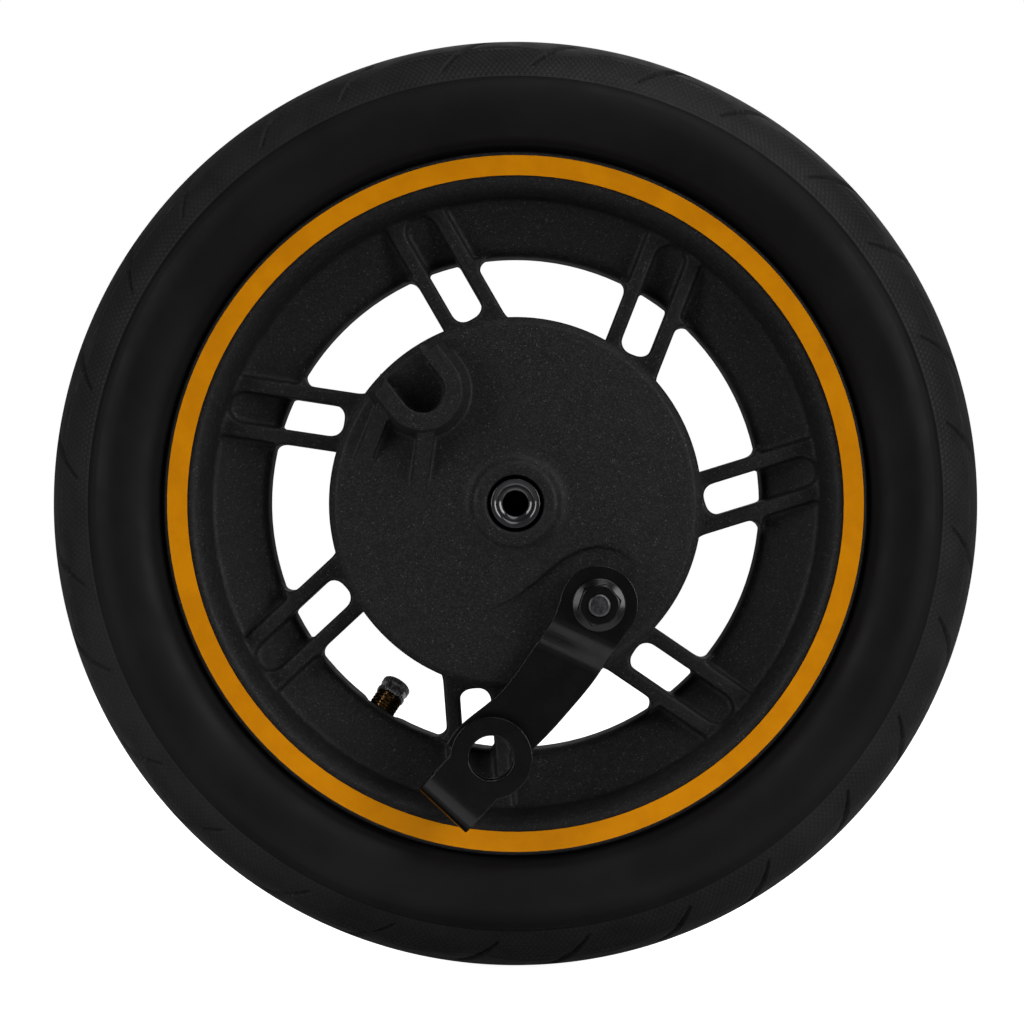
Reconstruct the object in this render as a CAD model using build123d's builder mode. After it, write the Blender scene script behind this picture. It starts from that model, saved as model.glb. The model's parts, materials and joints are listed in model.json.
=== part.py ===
"""Front wheel of an electric kick scooter: cast rim, tubeless tyre and a drum brake worked by a lever.

Millimetres, +Z up. The wheel turns about Y through the origin, which is the wheel's centre.
The brake side faces -Y. Turned pieces are drawn in the XY plane, radius along X, and revolved about Y.
"""

from build123d import *
from math import asin, atan2, cos, degrees, radians, sin, sqrt, tan
import os

os.makedirs("parts", exist_ok=True)

# ---------------------------------------------------------------- driving dimensions
# Tyre and rim
TYRE_R = 125.0
TYRE_HALF_WIDTH = 30.0
FLANGE_R = 93.5
FLANGE_Y = 24.0
FLANGE_THICK = 3.8
BEAD_SEAT_R = 83.4
BARREL_R = 66.3
WELL_R = 71.5
STRIPE_R_IN = 87.1
STRIPE_R_OUT = 92.4
STRIPE_THICK = 0.8
STRIPE_SUNK = 0.4

# Twin spokes, leaning off the radial
SPOKE_PAIRS = 7
SPOKE_LEAN = 17.2
SPOKE_OFFSET = -14.75
SPOKE_SLOT = 8.4
SPOKE_BAR = 4.0
SPOKE_FRONT = -15.0
SPOKE_BACK = 5.0
FLARE_WIDE = 4.6
FLARE_TIGHT = 1.2
SLOT_CORNER_R = 3.2

# Drum and hub
DRUM_OUT_R = 48.8
LINER_R_OUT = 45.5
LINER_R_IN = 42.5
DRUM_MOUTH = -23.0
DRUM_FLOOR = 0.0
DRUM_BACK = 6.5
HUB_R = 18.5
HUB_REAR_R = 22.5
HUB_FRONT = -13.0
HUB_BACK = 31.0
REAR_RIB_THICK = 5.0

# Ball bearings, 12 x 28 x 8
BEARING_BORE_R = 6.0
BEARING_OUT_R = 14.0
BEARING_WIDTH = 8.0
BEARING_PITCH_R = 10.0
BALL_R = 2.38
BALLS = 8
BALL_PLAY = 0.05
INNER_RACE_R = 8.3
OUTER_RACE_R = 11.7
FRONT_BEARING_Y = -9.0
REAR_BEARING_Y = 21.0

# Axle, tapped M8 in each end, and the faces that the fork closes on
FORK_FACE = 33.0
AXLE_END = 32.2
AXLE_COLLAR_R = 6.55
AXLE_LEDGE = -17.0
AXLE_TAP_R = 3.4
AXLE_TAP_DEPTH = 20.0

# Brake plate
PLATE_R = 49.5
PLATE_BACK = -23.5
PLATE_EDGE = -27.2
PLATE_CROWN = -30.5
PLATE_BORE_R = 7.5
PLATE_BOSS_R = 11.7
BLEND_R = 14.6
LANDING = -28.45

# Cam, lever and shoes; the brake's own line runs from the anchor pin to the cam
CAM_X = 21.9
CAM_Z = -26.6
CAM_SHAFT_R = 4.95
CAM_BORE_R = 5.0
CAM_BUSH_R = 6.5
CAM_BOSS_R = 8.5
CAM_BOSS_FACE = -33.4
CAM_HALF_THICK = 3.5
CAM_HALF_WIDTH = 4.75
CAM_REST_GAP = 0.15
ANCHOR_R = 5.0
ANCHOR_AT = -33.0
SHOE_FRONT = -21.0
SHOE_BACK = -4.0
SHOE_R_OUT = 38.65
SHOE_R_IN = 35.8
LINING_R_OUT = 41.75
LINING_HALF_SPAN = 60.0

LEVER_THICK = 3.0
LEVER_EYE_R = 10.3
LEVER_EYE_BACK = -34.0
LEVER_ARM_BACK = -29.2
LEVER_FLAP_BACK = -39.2
CLEVIS_X = -6.3
CLEVIS_Z = -66.5
CLEVIS_HOLE_R = 5.9
CLEVIS_HEAD_R = 10.8

# Torque hook on the brake plate
HOOK_X = -24.3
HOOK_Z = 29.6
HOOK_TURN = 128.0
HOOK_SLOT_R = 5.8
HOOK_OUT_R = 10.5
HOOK_ARM = 7.3
HOOK_TOP = -38.5
HOOK_DRAFT = 11.0
HOOK_RIB_THICK = 4.4
# Each rib's start at the hook and end on the dome, as X and Z
HOOK_RIBS = (((-32.6, 30.0), (-40.7, 10.6)), ((-22.9, 22.5), (-25.5, 4.4)))

# Valve
VALVE_ANGLE = 236.9
VALVE_LEAN = 28.0
VALVE_STEM_R = 3.75
VALVE_HOLE_R = 5.6
VALVE_SEAT_R = 68.9
VALVE_SEAT_Y = 2.0
VALVE_FACE = -3.4
VALVE_HEAD = -6.5
RUBBER_HEAD_R = 6.6

FRONT_VIEW = Plane.XZ  # X to the right, Z up, normal towards the brake side (-Y)
PITCH = 360.0 / SPOKE_PAIRS
BRAKE_LINE = degrees(atan2(CAM_Z, CAM_X))
CAM_AT = sqrt(CAM_X**2 + CAM_Z**2)


def facing(y):
    """The front-view plane moved to the station y along the wheel's axis."""
    return FRONT_VIEW.offset(-y)


def ring_section(r_in, r_out, y_low, y_high):
    """Draw a ring's rectangular section, radius along X and the wheel's axis along Y."""
    with Locations(((r_in + r_out) / 2, (y_low + y_high) / 2)):
        Rectangle(r_out - r_in, y_high - y_low)


def closed_section(*points):
    """Draw a polygon given by its corners."""
    Polygon(*points, align=None)


def brake_plane(y):
    """A front-view plane at y whose X runs from the anchor pin to the cam."""
    along = (cos(radians(BRAKE_LINE)), 0, sin(radians(BRAKE_LINE)))
    return Plane(origin=(0, y, 0), x_dir=along, z_dir=(0, -1, 0))


pieces = {}

# ---------------------------------------------------------------- rim casting
FLANGE_IN_Y = FLANGE_Y - FLANGE_THICK
DISH_OUT_R = 81.6
DISH_SLOPE = 16.6
BARREL_EDGE_Y = 6.0
BARREL_EDGE_R = 4.0


def rim_half_section(side):
    """The barrel's wall on one side of the wheel's mid-plane; side is -1 at the front and +1 at the rear."""
    edge_turn = 90 - DISH_SLOPE
    edge_arc = [
        (
            BARREL_R + BARREL_EDGE_R * (1 - cos(radians(turn))),
            side * (BARREL_EDGE_Y + BARREL_EDGE_R * sin(radians(turn))),
        )
        for turn in (0, edge_turn / 2, edge_turn)
    ]
    with BuildLine() as outline:
        Line((BARREL_R, 0), edge_arc[0])
        ThreePointArc(*edge_arc)
        Line(edge_arc[2], (DISH_OUT_R - 1.2, side * 13.2))
        ThreePointArc(
            (DISH_OUT_R - 1.2, side * 13.2),
            (DISH_OUT_R - 0.2, side * 13.9),
            (DISH_OUT_R, side * 15.2),
        )
        Line((DISH_OUT_R, side * 15.2), (DISH_OUT_R + 0.3, side * 17.6))
        ThreePointArc(
            (DISH_OUT_R + 0.3, side * 17.6),
            (DISH_OUT_R + 1.9, side * 21.6),
            (STRIPE_R_IN - 1.2, side * FLANGE_Y),
        )
        Polyline(
            (STRIPE_R_IN - 1.2, side * FLANGE_Y),
            (STRIPE_R_IN, side * FLANGE_Y),
            (STRIPE_R_IN, side * (FLANGE_Y - STRIPE_SUNK)),
            (STRIPE_R_OUT, side * (FLANGE_Y - STRIPE_SUNK)),
            (STRIPE_R_OUT, side * FLANGE_Y),
            (FLANGE_R - 0.5, side * FLANGE_Y),
            (FLANGE_R, side * (FLANGE_Y - 0.6)),
            (FLANGE_R, side * (FLANGE_IN_Y + 0.6)),
            (FLANGE_R - 0.5, side * FLANGE_IN_Y),
            (BEAD_SEAT_R + 1.2, side * FLANGE_IN_Y),
            (BEAD_SEAT_R, side * (FLANGE_IN_Y - 1.2)),
            (BEAD_SEAT_R, side * 11.4),
            (WELL_R + 0.8, side * 6.4),
            (WELL_R, side * 4.8),
            (WELL_R, 0),
            (BARREL_R, 0),
        )
    make_face(outline.edges())


# The seven windows between the spoke pairs, seen from the front
with BuildSketch(FRONT_VIEW) as windows:
    Circle(BARREL_R)
    Circle(DRUM_OUT_R, mode=Mode.SUBTRACT)
    for pair in range(SPOKE_PAIRS):
        with Locations(Location((0, 0, 0), (0, 0, SPOKE_LEAN + pair * PITCH))):
            with Locations((60, SPOKE_OFFSET)):
                Rectangle(60, SPOKE_SLOT + 2 * SPOKE_BAR, mode=Mode.SUBTRACT)
    outer_corners = [v for v in windows.vertices() if Vector(*v).length > 60]
    fillet(outer_corners, 2.7)
    # Each pair runs into the drum with a wide flare on its clockwise side and a tight one on the other
    hub_corners = [v for v in windows.vertices() if Vector(*v).length < DRUM_OUT_R + 0.5]
    pair_at_hub = SPOKE_LEAN + degrees(asin(SPOKE_OFFSET / DRUM_OUT_R))
    clockwise = [v for v in hub_corners if (degrees(atan2(v.Y, v.X)) - pair_at_hub) % PITCH > PITCH / 2]
    fillet(clockwise, FLARE_WIDE)
    hub_corners = [v for v in windows.vertices() if Vector(*v).length < DRUM_OUT_R + 0.05]
    pointed = [v for v in hub_corners if (degrees(atan2(v.Y, v.X)) - pair_at_hub) % PITCH < PITCH / 2]
    fillet(pointed, FLARE_TIGHT)

# The slot between each pair's two bars, round at its outer end
SLOT_IN = 48.6
SLOT_OUT = 75.5
with BuildSketch(FRONT_VIEW) as slots:
    for pair in range(SPOKE_PAIRS):
        with Locations(Location((0, 0, 0), (0, 0, SPOKE_LEAN + pair * PITCH))):
            with Locations(((SLOT_IN + SLOT_OUT) / 2, SPOKE_OFFSET)):
                Rectangle(SLOT_OUT - SLOT_IN, SPOKE_SLOT)
            with Locations((SLOT_OUT, SPOKE_OFFSET)):
                Circle(SPOKE_SLOT / 2)
    fillet([v for v in slots.vertices() if Vector(*v).length < 56], SLOT_CORNER_R)

# Spokes as one flat web, with the windows and the slots left open
PAD_OUT = 84.0
with BuildPart() as spokes:
    with BuildSketch(facing(SPOKE_BACK)):
        Circle(BARREL_R)
        add(windows.sketch, mode=Mode.SUBTRACT)
        for pair in range(SPOKE_PAIRS):
            with Locations(Location((0, 0, 0), (0, 0, SPOKE_LEAN + pair * PITCH))):
                with Locations(((40 + PAD_OUT) / 2, SPOKE_OFFSET)):
                    Rectangle(PAD_OUT - 40, SPOKE_SLOT + 2 * SPOKE_BAR)
        add(slots.sketch, mode=Mode.SUBTRACT)
    extrude(amount=SPOKE_BACK - SPOKE_FRONT)
    # Each bar's back is trimmed to the barrel, and its front runs out flat over the dish
    with BuildSketch(Plane.XY):
        closed_section(
            (DRUM_OUT_R - 2, SPOKE_FRONT),
            (DISH_OUT_R + 0.2, SPOKE_FRONT),
            (DISH_OUT_R + 0.2, -13.0),
            (BARREL_R + 4.2, -8.2),
            (BARREL_R + 2.2, -5.0),
            (BARREL_R + 2.2, 2.0),
            (BARREL_R - 6, SPOKE_BACK),
            (DRUM_OUT_R - 2, SPOKE_BACK),
        )
    revolve(axis=Axis.Y, mode=Mode.INTERSECT)
    top_edges = spokes.faces().filter_by(Axis.Y).sort_by(Axis.Y)[0].edges()
    fillet(top_edges.filter_by(GeomType.LINE), 0.6)

# The valve's own plane: its origin is inside the well's wall and its Z runs along the stem to the cap
VALVE_OUT = Vector(cos(radians(VALVE_ANGLE)), 0, sin(radians(VALVE_ANGLE)))
VALVE_AXIS = VALVE_OUT * -cos(radians(VALVE_LEAN)) + Vector(0, sin(radians(VALVE_LEAN)), 0)
VALVE_SEAT = VALVE_OUT * VALVE_SEAT_R + Vector(0, VALVE_SEAT_Y, 0)
valve_plane = Plane(origin=VALVE_SEAT, z_dir=VALVE_AXIS)

CIRCLIP_GROOVE = (25.2, 26.6)
with BuildPart() as rim_casting:
    with BuildSketch(Plane.XY):
        rim_half_section(-1)
        rim_half_section(1)
    revolve(axis=Axis.Y)
    with BuildSketch(Plane.XY) as hub_section:
        ring_section(LINER_R_OUT, DRUM_OUT_R, DRUM_MOUTH, DRUM_BACK)
        ring_section(HUB_R - 2, LINER_R_OUT, DRUM_FLOOR, DRUM_BACK)
        ring_section(OUTER_RACE_R, HUB_R, HUB_FRONT, HUB_BACK)
        ring_section(HUB_R - 1, HUB_REAR_R, DRUM_FLOOR + 1, HUB_BACK)
        closed_section(
            (HUB_REAR_R - 1, DRUM_BACK - 1),
            (HUB_REAR_R - 1, 24.0),
            (HUB_REAR_R + 3, 13.0),
            (33.0, DRUM_BACK),
            (33.0, DRUM_BACK - 1),
        )
        fillet([v for v in hub_section.vertices() if v.X > DRUM_OUT_R - 0.1 and v.Y > 0], 3.0)
    revolve(axis=Axis.Y)
    # Ribs between the drum's back and the hub
    for rib in range(SPOKE_PAIRS):
        turn = SPOKE_LEAN + (rib + 0.5) * PITCH
        rib_plane = Plane.XY.rotated((0, turn, 0))
        with BuildSketch(rib_plane):
            closed_section(
                (HUB_REAR_R - 1, DRUM_BACK - 2),
                (HUB_REAR_R - 1, 27.0),
                (HUB_REAR_R + 1, 27.0),
                (DRUM_OUT_R - 2, 11.0),
                (DRUM_OUT_R - 2, DRUM_BACK - 2),
            )
        extrude(amount=REAR_RIB_THICK / 2, both=True)
    # Bearing seats, open at the front and at the back, and the circlip's groove
    with BuildSketch(Plane.XY):
        ring_section(OUTER_RACE_R - 1, BEARING_OUT_R, HUB_FRONT - 1, FRONT_BEARING_Y + BEARING_WIDTH / 2)
        ring_section(OUTER_RACE_R - 1, BEARING_OUT_R, REAR_BEARING_Y - BEARING_WIDTH / 2, HUB_BACK + 1)
        ring_section(OUTER_RACE_R - 1, BEARING_OUT_R + 0.9, *CIRCLIP_GROOVE)
    revolve(axis=Axis.Y, mode=Mode.SUBTRACT)
    add(spokes.part)
    # Valve hole, with a spot face for its rubber head on the tyre's side
    with BuildSketch(valve_plane):
        Circle(VALVE_HOLE_R)
    extrude(amount=9.0, both=True, mode=Mode.SUBTRACT)
    with BuildSketch(valve_plane.offset(VALVE_FACE)):
        Circle(RUBBER_HEAD_R + 0.2)
    extrude(amount=-9.0, mode=Mode.SUBTRACT)
pieces["rim_casting"] = rim_casting

with BuildPart() as drum_liner:
    with BuildSketch(Plane.XY):
        ring_section(LINER_R_IN, LINER_R_OUT, DRUM_MOUTH, DRUM_FLOOR)
    revolve(axis=Axis.Y)
pieces["drum_liner"] = drum_liner

# ---------------------------------------------------------------- tyre and stripes
TREAD_END = (113.2, 26.3)
SIDEWALL_TOP = (112.6, 27.4)
SIDEWALL_FOOT = (95.4, 24.2)
INNER_FOOT = (88.0, 13.0)
INNER_CROWN = (120.0, 0)
with BuildPart() as tyre:
    with BuildSketch(Plane.XY):
        with BuildLine():
            Spline((TYRE_R, 0), (123.9, 9.0), (120.6, 17.5), TREAD_END, tangents=[(0, 1), (-0.75, 0.66)])
            Line(TREAD_END, SIDEWALL_TOP)
            Spline(
                SIDEWALL_TOP,
                (106.5, TYRE_HALF_WIDTH),
                (99.0, 28.0),
                SIDEWALL_FOOT,
                tangents=[(-0.75, 0.5), (-0.6, -0.8)],
            )
            Polyline(
                SIDEWALL_FOOT,
                (FLANGE_R + 0.8, 22.0),
                (FLANGE_R + 0.8, FLANGE_IN_Y),
                (BEAD_SEAT_R + 1.2, FLANGE_IN_Y),
                (BEAD_SEAT_R, FLANGE_IN_Y - 1.2),
                (BEAD_SEAT_R, 13.0),
                (BEAD_SEAT_R + 1.8, 12.0),
                INNER_FOOT,
            )
            Spline(
                INNER_FOOT,
                (97.0, 19.8),
                (106.5, 24.5),
                (115.5, 16.5),
                INNER_CROWN,
                tangents=[(0.8, 0.5), (0, -1)],
            )
            Line(INNER_CROWN, (TYRE_R, 0))
        make_face()
        mirror(about=Plane.XZ)
    revolve(axis=Axis.Y)
pieces["tyre"] = tyre

for name, side in (("front_stripe_ring", -1), ("rear_stripe_ring", 1)):
    stripe_in = side * (FLANGE_Y - STRIPE_SUNK)
    stripe_out = stripe_in + side * STRIPE_THICK
    with BuildPart() as stripe_ring:
        with BuildSketch(Plane.XY):
            ring_section(STRIPE_R_IN, STRIPE_R_OUT, min(stripe_in, stripe_out), max(stripe_in, stripe_out))
        revolve(axis=Axis.Y)
    pieces[name] = stripe_ring

# ---------------------------------------------------------------- bearings
SHIELD_THICK = 0.8
for name, middle in (("front", FRONT_BEARING_Y), ("rear", REAR_BEARING_Y)):
    bearing_low = middle - BEARING_WIDTH / 2
    bearing_high = middle + BEARING_WIDTH / 2
    with BuildPart() as inner_race:
        with BuildSketch(Plane.XY):
            ring_section(BEARING_BORE_R, INNER_RACE_R, bearing_low, bearing_high)
            with Locations((BEARING_PITCH_R, middle)):
                Circle(BALL_R + BALL_PLAY, mode=Mode.SUBTRACT)
        revolve(axis=Axis.Y)
    with BuildPart() as outer_race:
        with BuildSketch(Plane.XY):
            ring_section(OUTER_RACE_R, BEARING_OUT_R, bearing_low, bearing_high)
            with Locations((BEARING_PITCH_R, middle)):
                Circle(BALL_R + BALL_PLAY, mode=Mode.SUBTRACT)
        revolve(axis=Axis.Y)
    with BuildPart(facing(middle)) as balls:
        with PolarLocations(BEARING_PITCH_R, BALLS):
            Sphere(BALL_R)
    with BuildPart(facing(middle)) as cage:
        with BuildSketch(facing(middle + 3.1)):
            Circle(BEARING_PITCH_R + 1.0)
            Circle(BEARING_PITCH_R - 1.0, mode=Mode.SUBTRACT)
        extrude(amount=4.3)
        with PolarLocations(BEARING_PITCH_R, BALLS):
            Sphere(BALL_R + 0.1, mode=Mode.SUBTRACT)
    with BuildPart() as shields:
        with BuildSketch(Plane.XY):
            ring_section(INNER_RACE_R + 0.2, OUTER_RACE_R, bearing_low, bearing_low + SHIELD_THICK)
            ring_section(INNER_RACE_R + 0.2, OUTER_RACE_R, bearing_high - SHIELD_THICK, bearing_high)
        revolve(axis=Axis.Y)
    pieces[name + "_inner_race"] = inner_race
    pieces[name + "_outer_race"] = outer_race
    pieces[name + "_balls"] = balls
    pieces[name + "_ball_cage"] = cage
    pieces[name + "_bearing_shields"] = shields

FRONT_BEARING_BACK = FRONT_BEARING_Y + BEARING_WIDTH / 2
REAR_BEARING_FRONT = REAR_BEARING_Y - BEARING_WIDTH / 2
REAR_BEARING_BACK = REAR_BEARING_Y + BEARING_WIDTH / 2
with BuildPart() as bearing_spacer_tube:
    with BuildSketch(Plane.XY):
        ring_section(BEARING_BORE_R + 0.05, INNER_RACE_R - 0.1, FRONT_BEARING_BACK, REAR_BEARING_FRONT)
    revolve(axis=Axis.Y)
pieces["bearing_spacer_tube"] = bearing_spacer_tube

with BuildPart() as rear_spacer:
    with BuildSketch(Plane.XY) as rear_spacer_section:
        ring_section(BEARING_BORE_R + 0.03, INNER_RACE_R, REAR_BEARING_BACK, 26.0)
        ring_section(BEARING_BORE_R + 0.03, 9.0, 26.0, FORK_FACE)
        ring_section(BEARING_BORE_R + 0.03, 12.0, 31.6, FORK_FACE)
        fillet([v for v in rear_spacer_section.vertices() if v.X > 11.9], 0.5)
    revolve(axis=Axis.Y)
pieces["rear_spacer"] = rear_spacer

with BuildPart() as circlip:
    with BuildSketch(facing(CIRCLIP_GROOVE[1] - 0.1)):
        Circle(BEARING_OUT_R + 0.85)
        with Locations((0, -0.5)):
            Circle(BEARING_OUT_R - 1.6, mode=Mode.SUBTRACT)
        with Locations((0, 12)):
            Rectangle(4.5, 10, mode=Mode.SUBTRACT)
        with Locations((-3.9, 11.6), (3.9, 11.6)):
            Circle(1.8)
        with Locations((-3.9, 11.6), (3.9, 11.6)):
            Circle(0.8, mode=Mode.SUBTRACT)
    extrude(amount=CIRCLIP_GROOVE[1] - CIRCLIP_GROOVE[0] - 0.2)
pieces["bearing_circlip"] = circlip

with BuildPart() as hub_seal:
    with BuildSketch(Plane.XY):
        closed_section(
            (BEARING_OUT_R, 27.0),
            (BEARING_OUT_R, 30.6),
            (BEARING_OUT_R - 2.2, 30.6),
            (9.35, 29.4),
            (9.35, 28.6),
            (BEARING_OUT_R - 2.2, 29.4),
            (BEARING_OUT_R - 1.6, 27.0),
        )
    revolve(axis=Axis.Y)
pieces["rear_hub_seal"] = hub_seal

# ---------------------------------------------------------------- axle
with BuildPart() as axle:
    with BuildSketch(Plane.XY) as axle_section:
        tap_end = AXLE_END - AXLE_TAP_DEPTH
        closed_section(
            (0, -tap_end + 2.0),
            (AXLE_TAP_R, -tap_end),
            (AXLE_TAP_R, -AXLE_END + 1.8),
            (AXLE_TAP_R + 1.8, -AXLE_END),
            (AXLE_COLLAR_R, -AXLE_END),
            (AXLE_COLLAR_R, AXLE_LEDGE),
            (BEARING_BORE_R, AXLE_LEDGE),
            (BEARING_BORE_R, AXLE_END - 0.6),
            (BEARING_BORE_R - 0.6, AXLE_END),
            (AXLE_TAP_R + 1.2, AXLE_END),
            (AXLE_TAP_R, AXLE_END - 1.2),
            (AXLE_TAP_R, tap_end),
            (0, tap_end - 2.0),
        )
        fillet([v for v in axle_section.vertices() if v.X > 6.5 and v.Y < -32], 1.0)
    revolve(axis=Axis.Y)
pieces["axle"] = axle

# ---------------------------------------------------------------- brake plate
SPIGOT_R_OUT = LINER_R_IN - 0.8
SPIGOT_R_IN = SPIGOT_R_OUT - 1.9
SPIGOT_TOP = PLATE_BACK + 1.7
PLATE_INSIDE_OUTER = -25.2
PLATE_INSIDE_INNER = -26.2
ANCHOR_FOOT = -26.3
INSIDE_BOSS_R = 8.5


def dome_y(radius):
    """Where the plate's domed front lies at a radius from the axle."""
    return PLATE_CROWN + (PLATE_EDGE - PLATE_CROWN) * (radius / (PLATE_R - 1.9)) ** 2


def along_brake_line(u, v):
    """X and Z of a point u along the line from the axle to the cam and v to its left."""
    turn = radians(BRAKE_LINE)
    return (u * cos(turn) - v * sin(turn), u * sin(turn) + v * cos(turn))


with BuildPart() as brake_plate:
    with BuildSketch(Plane.XY):
        with BuildLine():
            Polyline(
                (PLATE_R - 1.9, PLATE_EDGE),
                (PLATE_R, PLATE_EDGE + 1.8),
                (PLATE_R, PLATE_BACK),
                (SPIGOT_R_OUT, PLATE_BACK),
                (SPIGOT_R_OUT, SPIGOT_TOP),
                (SPIGOT_R_IN, SPIGOT_TOP),
                (SPIGOT_R_IN, PLATE_INSIDE_OUTER),
                (16.0, PLATE_INSIDE_INNER),
                (INNER_RACE_R - 0.1, -17.0),
                (INNER_RACE_R - 0.1, HUB_FRONT),
                (BEARING_BORE_R + 0.03, HUB_FRONT),
                (BEARING_BORE_R + 0.03, AXLE_LEDGE),
                (PLATE_BORE_R, AXLE_LEDGE),
                (PLATE_BORE_R, -FORK_FACE + 0.5),
                (PLATE_BORE_R + 0.5, -FORK_FACE),
                (PLATE_BOSS_R - 1.5, -FORK_FACE),
                (PLATE_BOSS_R - 0.5, -FORK_FACE + 0.6),
                (PLATE_BOSS_R + 0.3, dome_y(PLATE_BOSS_R) - 1.0),
                (PLATE_BOSS_R + 1.2, dome_y(PLATE_BOSS_R) - 0.35),
                (BLEND_R, dome_y(BLEND_R)),
            )
            ThreePointArc((BLEND_R, dome_y(BLEND_R)), (31.0, dome_y(31.0)), (PLATE_R - 1.9, PLATE_EDGE))
        make_face()
    revolve(axis=Axis.Y)
    # Flat landing that the lever sweeps over, with a curved step up to the dome
    with BuildSketch(facing(LANDING)):
        with BuildLine():
            Spline(
                (-32.0, -29.0),
                (-19.8, -30.1),
                (-8.1, -28.5),
                (-0.4, -24.8),
                (7.2, -19.2),
                (13.6, -14.2),
                (21.6, -11.5),
                (29.4, -13.9),
                (34.0, -19.6),
                (37.5, -28.0),
            )
            Polyline((37.5, -28.0), (50.0, -60.0), (-32.0, -60.0), (-32.0, -29.0))
        make_face()
    extrude(amount=6.0, mode=Mode.SUBTRACT)
    # Bosses inside the drum, for the bush and the anchor pin
    with BuildSketch(facing(SPIGOT_TOP)):
        with Locations((CAM_X, CAM_Z), along_brake_line(ANCHOR_AT, 0)):
            Circle(INSIDE_BOSS_R)
        Circle(SPIGOT_R_OUT, mode=Mode.INTERSECT)
    extrude(amount=SPIGOT_TOP - PLATE_INSIDE_INNER + 0.5)
    # Boss for the cam's shaft, through the plate
    with BuildSketch(facing(PLATE_BACK)):
        with Locations((CAM_X, CAM_Z)):
            Circle(CAM_BOSS_R)
    extrude(amount=PLATE_BACK - CAM_BOSS_FACE)
    # Torque hook: a U that opens outwards, with drafted sides and two sloping ribs
    hook_height = LANDING - HOOK_TOP
    hook_spread = hook_height * tan(radians(HOOK_DRAFT))
    with BuildSketch(facing(LANDING)):
        with Locations(Location((HOOK_X, HOOK_Z, 0), (0, 0, HOOK_TURN))):
            Circle(HOOK_OUT_R + hook_spread)
            with Locations(((HOOK_ARM + hook_spread) / 2, 0)):
                Rectangle(HOOK_ARM + hook_spread, 2 * (HOOK_OUT_R + hook_spread))
    extrude(amount=hook_height, taper=HOOK_DRAFT)
    for start, end in HOOK_RIBS:
        run = Vector(end[0] - start[0], 0, end[1] - start[1])
        rib_plane = Plane(origin=(start[0], 0, start[1]), x_dir=run, z_dir=(run.Z, 0, -run.X))
        rib_foot = -dome_y(sqrt(end[0] ** 2 + end[1] ** 2))
        with BuildSketch(rib_plane):
            closed_section(
                (0, -PLATE_EDGE),
                (0, -HOOK_TOP - 1.0),
                (1.5, -HOOK_TOP - 1.0),
                (run.length, rib_foot + 0.3),
                (run.length + 1.2, rib_foot - 0.8),
                (run.length + 1.2, -PLATE_EDGE),
            )
        extrude(amount=HOOK_RIB_THICK / 2, both=True)
    with BuildSketch(facing(PLATE_EDGE - 0.5)):
        with Locations(Location((HOOK_X, HOOK_Z, 0), (0, 0, HOOK_TURN))):
            Circle(HOOK_SLOT_R)
            with Locations((15, 0)):
                Rectangle(30, 2 * HOOK_SLOT_R)
    extrude(amount=20.0, mode=Mode.SUBTRACT)
    # Bores for the bush, the O-ring and the anchor pin
    with BuildSketch(facing(PLATE_BACK + 3)):
        with Locations((CAM_X, CAM_Z)):
            Circle(CAM_BUSH_R)
    extrude(amount=20.0, mode=Mode.SUBTRACT)
    with BuildSketch(facing(CAM_BOSS_FACE + 2.0)):
        with Locations((CAM_X, CAM_Z)):
            Circle(CAM_BUSH_R + 0.5)
    extrude(amount=5.0, mode=Mode.SUBTRACT)
    with BuildSketch(facing(ANCHOR_FOOT)):
        with Locations(along_brake_line(ANCHOR_AT, 0)):
            Circle(ANCHOR_R)
    extrude(amount=ANCHOR_FOOT - SHOE_FRONT, mode=Mode.SUBTRACT)
pieces["brake_plate"] = brake_plate

with BuildPart() as cam_bush:
    with BuildSketch(facing(PLATE_BACK + 1.5)):
        with Locations((CAM_X, CAM_Z)):
            Circle(CAM_BUSH_R)
            Circle(CAM_BORE_R, mode=Mode.SUBTRACT)
    extrude(amount=PLATE_BACK + 1.5 - (CAM_BOSS_FACE + 2.0))
pieces["cam_bush"] = cam_bush

with BuildPart() as cam_o_ring:
    with Locations(Plane(origin=(CAM_X, CAM_BOSS_FACE + 1.0, CAM_Z), z_dir=(0, -1, 0))):
        Torus(CAM_SHAFT_R + 1.15, 0.85)
pieces["cam_o_ring"] = cam_o_ring

CLIP_FRONT = SHOE_BACK + 0.4
CLIP_BACK = CLIP_FRONT + 0.8
PIN_END = -1.4
with BuildPart() as anchor_pin:
    with BuildSketch(brake_plane(PIN_END)):
        with Locations((ANCHOR_AT, 0)):
            Circle(ANCHOR_R)
    extrude(amount=PIN_END - ANCHOR_FOOT)
    chamfer(anchor_pin.edges().sort_by(Axis.Y)[-1], 0.6)
    with BuildSketch(brake_plane(CLIP_BACK + 0.05)):
        with Locations((ANCHOR_AT, 0)):
            Circle(ANCHOR_R + 1)
            Circle(ANCHOR_R - 1.0, mode=Mode.SUBTRACT)
    extrude(amount=0.9, mode=Mode.SUBTRACT)
pieces["anchor_pin"] = anchor_pin

with BuildPart() as anchor_clip:
    with BuildSketch(brake_plane(CLIP_BACK)):
        with Locations((ANCHOR_AT, 0)):
            Circle(ANCHOR_R + 2.0)
            Circle(ANCHOR_R - 0.95, mode=Mode.SUBTRACT)
        with Locations((ANCHOR_AT + 5.0, 0)):
            Rectangle(10.0, 6.4, mode=Mode.SUBTRACT)
    extrude(amount=CLIP_BACK - CLIP_FRONT)
pieces["anchor_clip"] = anchor_clip

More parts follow.
